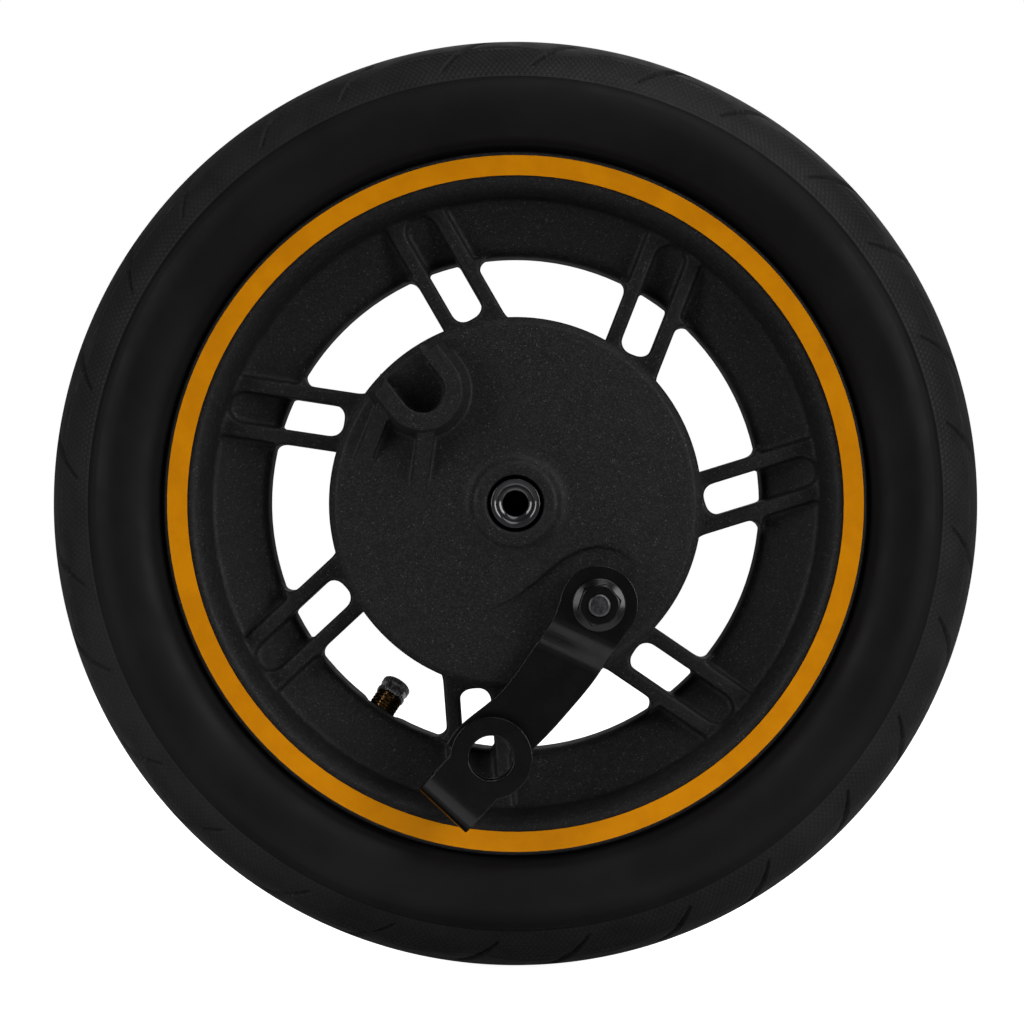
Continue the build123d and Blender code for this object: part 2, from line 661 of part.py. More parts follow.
# ---------------------------------------------------------------- shoes
SHOE_WIDTH = SHOE_BACK - SHOE_FRONT
WEB_BACK = -10.5
WEB_THICK = 4.0
WEB_R_IN = 23.5
SPRING_AT = 24.5
SPRING_HOLE_V = 14.0
SPRING_HOLE_R = 1.8
half_span = radians(LINING_HALF_SPAN)
for name, side in (("upper", 1), ("lower", -1)):
    with BuildPart() as shoe:
        with BuildSketch(brake_plane(SHOE_BACK)):
            Circle(SHOE_R_OUT)
            Circle(SHOE_R_IN, mode=Mode.SUBTRACT)
            with Locations((CAM_AT - 0.4, side * (CAM_HALF_THICK + CAM_REST_GAP + 3.5))):
                Rectangle(9.2, 7.0)
            with Locations((ANCHOR_AT - 0.2, side * 4.9)):
                Rectangle(9.4, 9.0)
            with Locations((0, -side * (50 - CAM_HALF_THICK - CAM_REST_GAP))):
                with Locations((40, 0)):
                    Rectangle(80, 100, mode=Mode.SUBTRACT)
            with Locations((-40, -side * 49.6)):
                Rectangle(80, 100, mode=Mode.SUBTRACT)
            Circle(SHOE_R_OUT, mode=Mode.INTERSECT)
            with Locations((ANCHOR_AT, 0)):
                Circle(ANCHOR_R + 0.1, mode=Mode.SUBTRACT)
        extrude(amount=SHOE_WIDTH)
        with BuildSketch(brake_plane(WEB_BACK)):
            Circle(SHOE_R_IN + 0.5)
            Circle(WEB_R_IN, mode=Mode.SUBTRACT)
            with Locations((0, -side * 44.0)):
                Rectangle(120, 100, mode=Mode.SUBTRACT)
            with Locations((SPRING_AT, side * SPRING_HOLE_V), (-SPRING_AT, side * SPRING_HOLE_V)):
                Circle(SPRING_HOLE_R, mode=Mode.SUBTRACT)
        extrude(amount=WEB_THICK)
    with BuildPart() as lining:
        with BuildSketch(brake_plane(SHOE_BACK - 0.5)):
            Circle(LINING_R_OUT)
            Circle(SHOE_R_OUT, mode=Mode.SUBTRACT)
            Polygon(
                (0, 0),
                (-90 * sin(half_span), side * 90 * cos(half_span)),
                (0, side * 180),
                (90 * sin(half_span), side * 90 * cos(half_span)),
                align=None,
                mode=Mode.INTERSECT,
            )
        extrude(amount=SHOE_WIDTH - 1.0)
    pieces[name + "_brake_shoe"] = shoe
    pieces[name + "_brake_lining"] = lining

# ---------------------------------------------------------------- return springs
SPRING_WIRE_R = 0.5
SPRING_COIL_R = 2.25
SPRING_PITCH = 1.5
SPRING_TURNS = 12
SPRING_Y = WEB_BACK + SPRING_COIL_R + SPRING_WIRE_R + 0.4
SPRING_HALF = SPRING_PITCH * SPRING_TURNS / 2
BEND_R = 1.2
across = along_brake_line(0, 1)
# The spring in its own frame: its axis along Z, its hooks towards +X
with BuildPart() as spring_form:
    with BuildLine() as wire_path:
        coil = Helix(SPRING_PITCH, 2 * SPRING_HALF, SPRING_COIL_R, center=(0, 0, -SPRING_HALF))
        for end, coil_end, coil_way in ((-1, coil @ 0, coil % 0), (1, coil @ 1, coil % 1)):
            bend_start = (SPRING_COIL_R, 0, end * (SPRING_HOLE_V - BEND_R))
            bend_middle = (
                SPRING_COIL_R + BEND_R * (1 - sqrt(0.5)),
                0,
                end * (SPRING_HOLE_V - BEND_R * (1 - sqrt(0.5))),
            )
            bend_end = (SPRING_COIL_R + BEND_R, 0, end * SPRING_HOLE_V)
            Spline(coil_end, bend_start, tangents=[coil_way * end, (0, 0, end)])
            ThreePointArc(bend_start, bend_middle, bend_end)
            Line(bend_end, (SPRING_COIL_R + 5.7, 0, end * SPRING_HOLE_V))
    spring_wire = wire_path.wires()[0]
    with BuildSketch(Plane(spring_wire @ 0, z_dir=spring_wire % 0)):
        Circle(SPRING_WIRE_R)
    sweep(path=spring_wire, is_frenet=True)
for name, spring_u in (("cam_end", SPRING_AT), ("anchor_end", -SPRING_AT)):
    middle_x, middle_z = along_brake_line(spring_u, 0)
    spring_middle = (middle_x, SPRING_Y, middle_z)
    spring_plane = Plane(origin=spring_middle, x_dir=(0, -1, 0), z_dir=(across[0], 0, across[1]))
    with BuildPart() as return_spring:
        add(spring_form.part.moved(spring_plane.location))
    pieces[name + "_return_spring"] = return_spring

# ---------------------------------------------------------------- cam, lever and nut
CAM_FLAT = 3.1
STUD_R = 3.0
STUD_END = -43.5
LEVER_FACE = LEVER_EYE_BACK - LEVER_THICK
with BuildPart() as cam_shaft:
    with BuildSketch(brake_plane(SHOE_BACK + 0.5)) as cam_outline:
        with Locations((CAM_AT, 0)):
            Rectangle(2 * CAM_HALF_WIDTH, 2 * CAM_HALF_THICK)
        fillet(cam_outline.vertices(), 0.8)
    extrude(amount=SHOE_WIDTH + 0.5)
    with BuildSketch(facing(SHOE_FRONT)):
        with Locations((CAM_X, CAM_Z)):
            Circle(CAM_SHAFT_R)
    extrude(amount=SHOE_FRONT - LEVER_EYE_BACK)
    with BuildSketch(brake_plane(LEVER_EYE_BACK)):
        with Locations((CAM_AT, 0)):
            Circle(CAM_SHAFT_R - 0.6)
            Rectangle(2 * CAM_SHAFT_R, 2 * CAM_FLAT, mode=Mode.INTERSECT)
    extrude(amount=LEVER_THICK - 0.2)
    with BuildSketch(facing(LEVER_EYE_BACK)):
        with Locations((CAM_X, CAM_Z)):
            Circle(STUD_R)
    extrude(amount=LEVER_EYE_BACK - STUD_END)
    chamfer(cam_shaft.edges().sort_by(Axis.Y)[0], 0.5)
pieces["cam_shaft"] = cam_shaft

JOGGLE_TURN = 245.1
JOGGLE_IN = 10.0
JOGGLE_OUT = 14.5
JOGGLE_BACK_SHIFT = 1.3
FOLD_TURN = 227.7
FOLD_AT = 19.3
FOLD_R_IN = (LEVER_ARM_BACK - LEVER_THICK - LEVER_FLAP_BACK) / 2
FOLD_R_OUT = FOLD_R_IN + LEVER_THICK
FOLD_Y = LEVER_ARM_BACK - LEVER_THICK - FOLD_R_IN
NECK_WIDTH = 16.8


def strip_plane(x, z, turn):
    """A plane that stands on edge at (x, z): its X runs at the angle turn and its Y runs to the front."""
    run = Vector(cos(radians(turn)), 0, sin(radians(turn)))
    return Plane(origin=(x, 0, z), x_dir=run, z_dir=(run.Z, 0, -run.X))


# Fold and flap: the lever strip's far end, bent back over the arm
with BuildPart() as flap:
    with BuildSketch(strip_plane(CLEVIS_X, CLEVIS_Z, FOLD_TURN)):
        bend_at = FOLD_AT - FOLD_R_OUT
        with Locations((bend_at, -FOLD_Y)):
            Circle(FOLD_R_OUT)
        with Locations(((bend_at - 20) / 2, -FOLD_Y)):
            Rectangle(bend_at + 20, 2 * FOLD_R_OUT)
            Rectangle(bend_at + 20, 2 * FOLD_R_IN, mode=Mode.SUBTRACT)
        with Locations((bend_at, -FOLD_Y)):
            Circle(FOLD_R_IN, mode=Mode.SUBTRACT)
    extrude(amount=30.0, both=True)
    with BuildSketch(facing(LEVER_ARM_BACK + 1.0)):
        with Locations((CLEVIS_X, CLEVIS_Z)):
            Circle(CLEVIS_HEAD_R)
        with Locations(Location((CLEVIS_X, CLEVIS_Z, 0), (0, 0, FOLD_TURN))):
            with Locations((15.0, 0)):
                Rectangle(30.0, NECK_WIDTH)
    extrude(amount=20.0, mode=Mode.INTERSECT)

with BuildPart() as brake_lever:
    # Eye, joggle and arm: a bent strip, cut to the lever's outline
    with BuildSketch(strip_plane(CAM_X, CAM_Z, JOGGLE_TURN)) as arm_strip:
        closed_section(
            (-15.0, -LEVER_EYE_BACK),
            (-15.0, -LEVER_FACE),
            (JOGGLE_IN, -LEVER_FACE),
            (JOGGLE_OUT, -LEVER_ARM_BACK + LEVER_THICK),
            (80.0, -LEVER_ARM_BACK + LEVER_THICK),
            (80.0, -LEVER_ARM_BACK),
            (JOGGLE_OUT - JOGGLE_BACK_SHIFT, -LEVER_ARM_BACK),
            (JOGGLE_IN - JOGGLE_BACK_SHIFT, -LEVER_EYE_BACK),
        )
        bends = [v for v in arm_strip.vertices() if Vector(v.X - CAM_X, 0, v.Z - CAM_Z).length < 14.9]
        fillet(bends, 1.2)
    extrude(amount=60.0, both=True)
    with BuildSketch(facing(LEVER_ARM_BACK + 1.0)):
        with BuildLine():
            Spline(
                (13.5, -20.7),
                (10.4, -28.9),
                (5.6, -36.7),
                (0.2, -44.6),
                (-4.9, -50.6),
                (-11.2, -55.7),
                (-15.4, -59.4),
                (-18.2, -63.5),
                tangents=[(-0.5, -0.87), (-0.5, -0.87)],
            )
            Polyline((-18.2, -63.5), (-6.3, -70.0), (4.4, -65.0))
            Spline(
                (4.4, -65.0),
                (9.2, -60.2),
                (14.0, -54.8),
                (17.6, -50.6),
                (21.8, -45.1),
                (24.8, -40.3),
                (29.7, -33.1),
                (32.15, -26.9),
                tangents=[(0.72, 0.7), (0.1, 1.0)],
            )
            Line((32.15, -26.9), (13.5, -20.7))
        make_face()
        with Locations((CAM_X, CAM_Z)):
            Circle(LEVER_EYE_R)
        with Locations((CLEVIS_X, CLEVIS_Z)):
            Circle(CLEVIS_HEAD_R)
    extrude(amount=16.0, mode=Mode.INTERSECT)
    add(flap.part)
    with BuildSketch(facing(0)):
        with Locations((CLEVIS_X, CLEVIS_Z)):
            Circle(CLEVIS_HOLE_R)
    extrude(amount=60.0, mode=Mode.SUBTRACT)
    with BuildSketch(brake_plane(0)):
        with Locations((CAM_AT, 0)):
            Circle(CAM_SHAFT_R - 0.6)
            Rectangle(2 * CAM_SHAFT_R, 2 * CAM_FLAT, mode=Mode.INTERSECT)
    extrude(amount=60.0, mode=Mode.SUBTRACT)
pieces["brake_lever"] = brake_lever

NUT_FLANGE_R = 7.1
NUT_FLATS = 10.0
NUT_END = -42.5
with BuildPart() as lever_nut:
    with BuildSketch(facing(LEVER_FACE)):
        with Locations((CAM_X, CAM_Z)):
            RegularPolygon(NUT_FLATS / 2, 6, major_radius=False, rotation=12)
    extrude(amount=LEVER_FACE - NUT_END)
    with BuildSketch(Plane(origin=(CAM_X, 0, CAM_Z), x_dir=(1, 0, 0), z_dir=(0, 0, 1))):
        closed_section(
            (0, LEVER_FACE + 1),
            (0, NUT_END),
            (NUT_FLATS / 2, NUT_END),
            (NUT_FLATS / 2 + 1.2, NUT_END + 0.8),
            (NUT_FLATS / 2 + 1.2, LEVER_FACE + 1),
        )
    revolve(axis=Axis((CAM_X, 0, CAM_Z), (0, 1, 0)), mode=Mode.INTERSECT)
    with BuildSketch(Plane(origin=(CAM_X, 0, CAM_Z), x_dir=(1, 0, 0), z_dir=(0, 0, 1))):
        closed_section(
            (0, LEVER_FACE),
            (0, LEVER_FACE - 2.0),
            (5.0, LEVER_FACE - 2.0),
            (NUT_FLANGE_R - 0.2, LEVER_FACE - 1.0),
            (NUT_FLANGE_R, LEVER_FACE - 0.7),
            (NUT_FLANGE_R, LEVER_FACE),
        )
    revolve(axis=Axis((CAM_X, 0, CAM_Z), (0, 1, 0)))
    with BuildSketch(facing(0)):
        with Locations((CAM_X, CAM_Z)):
            Circle(STUD_R)
    extrude(amount=60.0, mode=Mode.SUBTRACT)
pieces["lever_nut"] = lever_nut

# ---------------------------------------------------------------- valve
CAP_FROM = 6.5
VALVE_TIP = 11.3
CORE_R = 1.9
CAP_R = 3.9
with BuildPart() as valve_rubber_body:
    with BuildSketch(valve_plane.offset(VALVE_HEAD)):
        Circle(RUBBER_HEAD_R)
    extrude(amount=-VALVE_HEAD)
    add(rim_casting.part, mode=Mode.SUBTRACT)
    with BuildSketch(valve_plane.offset(VALVE_HEAD - 1)):
        Circle(VALVE_STEM_R)
    extrude(amount=30.0, mode=Mode.SUBTRACT)
pieces["valve_rubber_body"] = valve_rubber_body

with BuildPart() as valve_stem:
    with BuildSketch(valve_plane.offset(VALVE_HEAD)):
        Circle(VALVE_STEM_R)
    extrude(amount=CAP_FROM - VALVE_HEAD)
    with BuildSketch(valve_plane.offset(CAP_FROM)):
        Circle(VALVE_STEM_R - 0.55)
    extrude(amount=VALVE_TIP - CAP_FROM - 1.0)
    with BuildSketch(valve_plane.offset(VALVE_HEAD)):
        Circle(CORE_R)
    extrude(amount=30.0, mode=Mode.SUBTRACT)
pieces["valve_stem"] = valve_stem

with BuildPart() as valve_core:
    with BuildSketch(valve_plane.offset(-4.0)):
        Circle(CORE_R)
    extrude(amount=VALVE_TIP - 2.2 + 4.0)
    with BuildSketch(valve_plane.offset(VALVE_HEAD)):
        Circle(0.8)
    extrude(amount=VALVE_TIP - 1.0 - VALVE_HEAD)
pieces["valve_core"] = valve_core

with BuildPart() as valve_cap:
    with BuildSketch(valve_plane.offset(CAP_FROM + 0.1)):
        Circle(CAP_R)
    extrude(amount=VALVE_TIP - CAP_FROM - 0.1)
    with BuildSketch(valve_plane.offset(VALVE_TIP - 1.9)):
        Circle(CAP_R + 0.2)
    extrude(amount=1.4)
    with BuildSketch(valve_plane.offset(CAP_FROM)):
        Circle(VALVE_STEM_R - 0.5)
    extrude(amount=VALVE_TIP - CAP_FROM - 0.7, mode=Mode.SUBTRACT)
pieces["valve_cap"] = valve_cap

for name, piece in pieces.items():
    piece.part.label = name
    export_step(piece.part, f"parts/{name}.step")
    print(name, round(piece.part.volume), len(piece.part.solids()))
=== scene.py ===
"""Looks of a scooter's front wheel with a drum brake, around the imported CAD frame.

Metres, +Z up. The wheel turns about Y and its brake side faces -Y.
"""

import json
import math

import bmesh
import bpy
import numpy as np
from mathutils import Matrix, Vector


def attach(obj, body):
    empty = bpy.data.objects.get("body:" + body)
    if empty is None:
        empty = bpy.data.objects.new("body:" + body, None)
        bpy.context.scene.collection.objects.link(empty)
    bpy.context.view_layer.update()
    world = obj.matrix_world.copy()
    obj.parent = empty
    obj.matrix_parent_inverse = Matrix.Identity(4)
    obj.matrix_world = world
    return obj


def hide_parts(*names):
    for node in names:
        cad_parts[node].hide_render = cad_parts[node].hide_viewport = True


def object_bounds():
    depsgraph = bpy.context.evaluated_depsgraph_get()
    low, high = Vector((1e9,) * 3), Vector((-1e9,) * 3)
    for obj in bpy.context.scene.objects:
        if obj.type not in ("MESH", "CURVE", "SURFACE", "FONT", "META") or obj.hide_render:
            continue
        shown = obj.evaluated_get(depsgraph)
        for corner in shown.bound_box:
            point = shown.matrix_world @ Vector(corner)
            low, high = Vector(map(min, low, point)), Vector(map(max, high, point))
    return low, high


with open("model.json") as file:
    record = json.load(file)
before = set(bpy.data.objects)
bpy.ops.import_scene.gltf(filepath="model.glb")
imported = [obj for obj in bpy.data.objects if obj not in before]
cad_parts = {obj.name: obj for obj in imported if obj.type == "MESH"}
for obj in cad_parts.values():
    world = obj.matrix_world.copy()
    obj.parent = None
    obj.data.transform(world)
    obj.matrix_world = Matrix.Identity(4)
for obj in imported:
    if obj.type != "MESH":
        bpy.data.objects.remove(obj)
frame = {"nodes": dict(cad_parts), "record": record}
CAD_LOW, CAD_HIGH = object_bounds()
MM = 0.001
TAU = 2 * math.pi

# ---------------------------------------------------------------- node helpers


class Shade:
    """A material under construction, with short calls for the nodes that the finishes share."""

    def __init__(self, name):
        self.material = bpy.data.materials.new(name)
        self.material.use_nodes = True
        self.nodes = self.material.node_tree.nodes
        self.links = self.material.node_tree.links
        self.shader = self.nodes["Principled BSDF"]
        self.place = self.nodes.new("ShaderNodeTexCoord").outputs["Object"]

    def set(self, **values):
        """Sets the shader's own sockets: base, rough, metal, specular, coat, coat_rough."""
        sockets = {
            "base": "Base Color",
            "rough": "Roughness",
            "metal": "Metallic",
            "specular": "Specular IOR Level",
            "coat": "Coat Weight",
            "coat_rough": "Coat Roughness",
        }
        for key, value in values.items():
            socket = self.shader.inputs[sockets[key]]
            if hasattr(value, "links"):
                self.links.new(value, socket)
            elif key == "base":
                socket.default_value = (*value, 1.0)
            else:
                socket.default_value = value

    def noise(self, size, detail=3.0, rough=0.55, stretch=(1, 1, 1)):
        """Noise whose features are about size metres across."""
        node = self.nodes.new("ShaderNodeTexNoise")
        node.inputs["Scale"].default_value = 1.0 / size
        node.inputs["Detail"].default_value = detail
        node.inputs["Roughness"].default_value = rough
        self.links.new(self.scaled(stretch), node.inputs["Vector"])
        return node.outputs["Fac"]

    def scaled(self, stretch):
        """The object's own coordinates, multiplied by stretch along each axis."""
        if stretch == (1, 1, 1):
            return self.place
        node = self.nodes.new("ShaderNodeMapping")
        node.inputs["Scale"].default_value = stretch
        self.links.new(self.place, node.inputs["Vector"])
        return node.outputs["Vector"]

    def cells(self, size):
        """Random values, one per cell of about size metres."""
        node = self.nodes.new("ShaderNodeTexVoronoi")
        node.inputs["Scale"].default_value = 1.0 / size
        self.links.new(self.place, node.inputs["Vector"])
        split = self.nodes.new("ShaderNodeSeparateColor")
        self.links.new(node.outputs["Color"], split.inputs["Color"])
        return split.outputs["Red"]

    def ramp(self, value, low, high, start=0.0, end=1.0):
        """Maps value from low..high to start..end, smoothly and clamped."""
        node = self.nodes.new("ShaderNodeMapRange")
        node.interpolation_type = "SMOOTHSTEP"
        node.inputs["From Min"].default_value = low
        node.inputs["From Max"].default_value = high
        node.inputs["To Min"].default_value = start
        node.inputs["To Max"].default_value = end
        self.links.new(value, node.inputs["Value"])
        return node.outputs["Result"]

    def mix(self, amount, first, second):
        """A colour between two colours, by amount."""
        node = self.nodes.new("ShaderNodeMix")
        node.data_type = "RGBA"
        self.links.new(amount, node.inputs["Factor"])
        colour_inputs = [s for s in node.inputs if s.type == "RGBA"]
        for socket, value in zip(colour_inputs, (first, second)):
            if hasattr(value, "links"):
                self.links.new(value, socket)
            else:
                socket.default_value = (*value, 1.0)
        return [s for s in node.outputs if s.type == "RGBA"][0]

    def bump(self, height, distance, strength=1.0):
        """Adds a bump of the given height in metres, on top of any bump made before."""
        node = self.nodes.new("ShaderNodeBump")
        node.inputs["Distance"].default_value = distance
        node.inputs["Strength"].default_value = strength
        self.links.new(height, node.inputs["Height"])
        normal = self.shader.inputs["Normal"]
        if normal.links:
            self.links.new(normal.links[0].from_socket, node.inputs["Normal"])
        self.links.new(node.outputs["Normal"], normal)


# ---------------------------------------------------------------- finishes


def powder_coat(name, base, flake_share=0.035):
    """Textured charcoal powder coat with a fine grain and a few light flakes."""
    s = Shade(name)
    patches = s.ramp(s.noise(9 * MM), 0.35, 0.65)
    ground = s.mix(patches, tuple(v * 0.88 for v in base), base)
    grain = s.ramp(s.cells(0.34 * MM), 0.25, 1.0)
    grained = s.mix(grain, ground, tuple(v * 1.9 for v in base))
    flakes = s.ramp(s.cells(0.27 * MM), 1.0 - flake_share, 1.0)
    s.set(base=s.mix(flakes, grained, (0.042, 0.042, 0.043)))
    s.set(rough=s.ramp(s.noise(3 * MM), 0.3, 0.7, 0.46, 0.58), specular=0.10)
    s.bump(s.noise(0.5 * MM, 2.0), 0.05 * MM, 0.6)
    return s.material


def tyre_rubber(name):
    """Matt black moulded rubber with faint wipe marks."""
    s = Shade(name)
    marks = s.ramp(s.noise(30 * MM, 5.0), 0.35, 0.7)
    s.set(base=s.mix(marks, (0.0040, 0.0040, 0.0042), (0.0062, 0.0062, 0.0064)))
    s.set(rough=s.ramp(s.noise(12 * MM, 4.0), 0.3, 0.7, 0.48, 0.60), specular=0.07)
    s.bump(s.noise(0.6 * MM, 3.0), 0.02 * MM, 0.5)
    return s.material


def tread_rubber(name):
    """Rubber of the tread's knurled shoulders, a little lighter where it is scuffed."""
    s = Shade(name)
    marks = s.ramp(s.noise(14 * MM, 5.0), 0.3, 0.7)
    s.set(base=s.mix(marks, (0.0065, 0.0065, 0.0068), (0.0105, 0.0105, 0.0108)))
    s.set(rough=s.ramp(s.noise(5 * MM, 4.0), 0.3, 0.7, 0.50, 0.62), specular=0.14)
    s.bump(s.noise(0.4 * MM, 3.0), 0.02 * MM, 0.5)
    return s.material


def soft_rubber(name):
    """Satin black rubber of seals and of the valve's body."""
    s = Shade(name)
    marks = s.ramp(s.noise(4 * MM, 4.0), 0.3, 0.7)
    s.set(base=s.mix(marks, (0.010, 0.010, 0.010), (0.016, 0.016, 0.017)))
    s.set(rough=s.ramp(s.noise(2 * MM), 0.3, 0.7, 0.4, 0.55), specular=0.4)
    s.bump(s.noise(0.3 * MM, 2.0), 0.01 * MM, 0.4)
    return s.material


def stripe_paint(name):
    """Satin orange ring under a thin clear coat that is slightly uneven."""
    s = Shade(name)
    tint = s.ramp(s.noise(7 * MM, 4.0), 0.3, 0.7)
    s.set(base=s.mix(tint, (0.405, 0.142, 0.0003), (0.455, 0.165, 0.0004)))
    s.set(rough=s.ramp(s.noise(2.5 * MM), 0.3, 0.7, 0.34, 0.44), specular=0.06, coat=0.04, coat_rough=0.14)
    s.bump(s.noise(26 * MM, 1.0), 0.35 * MM, 0.5)
    s.bump(s.noise(1.2 * MM, 2.0), 0.012 * MM, 0.5)
    return s.material


def gloss_black(name, rough=0.2, base=(0.0022, 0.0022, 0.0024), specular=0.5):
    """Black paint with a slight orange peel."""
    s = Shade(name)
    smear = s.ramp(s.noise(10 * MM, 4.0), 0.35, 0.7)
    s.set(base=s.mix(smear, base, tuple(v * 1.5 for v in base)))
    s.set(rough=s.ramp(s.noise(6 * MM, 4.0), 0.3, 0.7, rough * 0.85, rough * 1.25), specular=specular)
    s.bump(s.noise(0.9 * MM, 2.0), 0.008 * MM, 0.5)
    return s.material


def metal(name, base, rough, grain=(1, 1, 1), dirt=0.6, size=1.2 * MM, bump=0.01 * MM):
    """Bare metal with machining grain and some darker patches."""
    s = Shade(name)
    patch = s.ramp(s.noise(6 * MM, 4.0), 0.3, 0.75)
    s.set(base=s.mix(patch, tuple(v * dirt for v in base), base), metal=1.0)
    s.set(rough=s.ramp(s.noise(size, 3.0, stretch=grain), 0.3, 0.7, rough * 0.75, rough * 1.3))
    s.bump(s.noise(size * 0.4, 3.0, stretch=grain), bump, 0.5)
    return s.material


def grainy(name, base, rough=0.8, size=0.8 * MM):
    """A rough non-metal, such as brake lining or moulded cage plastic."""
    s = Shade(name)
    speck = s.ramp(s.cells(size), 0.7, 1.0)
    s.set(base=s.mix(speck, base, tuple(min(1.0, v * 2.2) for v in base)))
    s.set(rough=s.ramp(s.noise(3 * MM), 0.3, 0.7, rough * 0.9, min(1.0, rough * 1.1)), specular=0.3)
    s.bump(s.noise(size, 4.0), 0.06 * MM, 0.7)
    return s.material


FINISHES = {
    "rim_coat": powder_coat("rim_coat_finish", (0.0066, 0.0066, 0.0069)),
    "plate_coat": powder_coat("plate_coat_finish", (0.0074, 0.0074, 0.0077), 0.03),
    "liner_iron": metal("liner_iron_finish", (0.20, 0.20, 0.21), 0.45, grain=(1, 6, 1)),
    "tyre_rubber": tyre_rubber("tyre_rubber_finish"),
    "stripe_orange": stripe_paint("stripe_orange_finish"),
    "bearing_steel": metal("bearing_steel_finish", (0.55, 0.55, 0.56), 0.22),
    "ball_steel": metal("ball_steel_finish", (0.72, 0.72, 0.73), 0.06),
    "cage_plastic": grainy("cage_plastic_finish", (0.20, 0.15, 0.08), 0.5),
    "seal_rubber": soft_rubber("seal_rubber_finish"),
    "spacer_aluminium": metal("spacer_aluminium_finish", (0.62, 0.62, 0.64), 0.32, grain=(1, 6, 1)),
    "spring_steel": metal("spring_steel_finish", (0.30, 0.30, 0.31), 0.30),
    "axle_black": gloss_black("axle_black_finish", 0.10, (0.012, 0.012, 0.013)),
    "bush_brass": metal("bush_brass_finish", (0.62, 0.44, 0.17), 0.30),
    "shoe_aluminium": metal("shoe_aluminium_finish", (0.46, 0.46, 0.47), 0.48, size=0.8 * MM, bump=0.04 * MM),
    "lining_compound": grainy("lining_compound_finish", (0.055, 0.048, 0.042)),
    "cam_steel": metal(
        "cam_steel_finish", (0.10, 0.10, 0.105), 0.38, dirt=0.25, size=0.8 * MM, bump=0.06 * MM
    ),
    "lever_black": gloss_black("lever_black_finish", 0.25, (0.0008, 0.0008, 0.0009), specular=0.24),
    "valve_brass": metal("valve_brass_finish", (0.55, 0.36, 0.14), 0.22, dirt=0.4),
    "cap_metal": metal("cap_metal_finish", (0.86, 0.84, 0.82), 0.30, dirt=0.8),
}

# Every CAD piece gets the finish that belongs to its material slot
slot_of = {part["node"]: part["material_slot"] for part in frame["record"]["subparts"]}
for node_name, node in frame["nodes"].items():
    node.data.materials.clear()
    node.data.materials.append(FINISHES[slot_of[node_name]])

# ---------------------------------------------------------------- mesh helpers


def add_piece(name, vertices, faces, finish, body, replaced=(), smooth=True):
    """A new mesh piece that rides on a CAD body, with a finish from FINISHES."""
    mesh = bpy.data.meshes.new(name)
    mesh.from_pydata(vertices, [], faces)
    mesh.update()
    if smooth:
        mesh.polygons.foreach_set("use_smooth", [True] * len(mesh.polygons))
    piece = bpy.data.objects.new(name, mesh)
    bpy.context.scene.collection.objects.link(piece)
    mesh.materials.append(finish if isinstance(finish, bpy.types.Material) else FINISHES[finish])
    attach(piece, body)
    if replaced:
        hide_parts(*replaced)
    return piece


def ring_faces(around, rows):
    """Quads of a grid that closes on itself both ways round."""
    a = np.arange(around)[:, None] * rows
    b = ((np.arange(around) + 1) % around)[:, None] * rows
    i = np.arange(rows)[None, :]
    j = ((np.arange(rows) + 1) % rows)[None, :]
    return np.stack([a + i, b + i, b + j, a + j], axis=-1).reshape(-1, 4)


def turned(name, angles, radius, y, finish, body, replaced=()):
    """A closed ring: radius and y are grids with one row of the section for each angle."""
    grid = np.stack(
        [radius * np.cos(angles)[:, None], y, radius * np.sin(angles)[:, None]], axis=-1
    ).reshape(-1, 3)
    faces = ring_faces(len(angles), radius.shape[1])
    return add_piece(name, grid.tolist(), faces.tolist(), finish, body, replaced)


def smooth_line(points, per_span):
    """Points along a Catmull-Rom curve, with per_span steps between each two of the given points."""
    p = np.array(points, float)
    p = np.vstack([2 * p[0] - p[1], p, 2 * p[-1] - p[-2]])
    out = []
    t = np.linspace(0, 1, per_span, endpoint=False)[:, None]
    for k in range(1, len(p) - 2):
        a, b, c, d = p[k - 1], p[k], p[k + 1], p[k + 2]
        square_part = (2 * a - 5 * b + 4 * c - d) * t**2
        cube_part = (3 * b - a - 3 * c + d) * t**3
        out.append(0.5 * (2 * b + (c - a) * t + square_part + cube_part))
    out.append(p[-2][None, :])
    return np.vstack(out)


def resample(line, stations):
    """Points of a line at the given distances along it, and the outward normals there."""
    steps = np.hypot(*np.diff(line, axis=0).T)
    along = np.concatenate([[0], np.cumsum(steps)])
    point = np.stack([np.interp(stations, along, line[:, k]) for k in (0, 1)], axis=-1)
    slope = np.gradient(line, along, axis=0)
    tangent = np.stack([np.interp(stations, along, slope[:, k]) for k in (0, 1)], axis=-1)
    tangent /= np.linalg.norm(tangent, axis=1)[:, None]
    return point, np.stack([-tangent[:, 1], tangent[:, 0]], axis=-1)


# ---------------------------------------------------------------- softened copies of CAD pieces

BODY_OF = {
    node_name: body for body, names in frame["record"]["behaviour"]["bodies"].items() for node_name in names
}


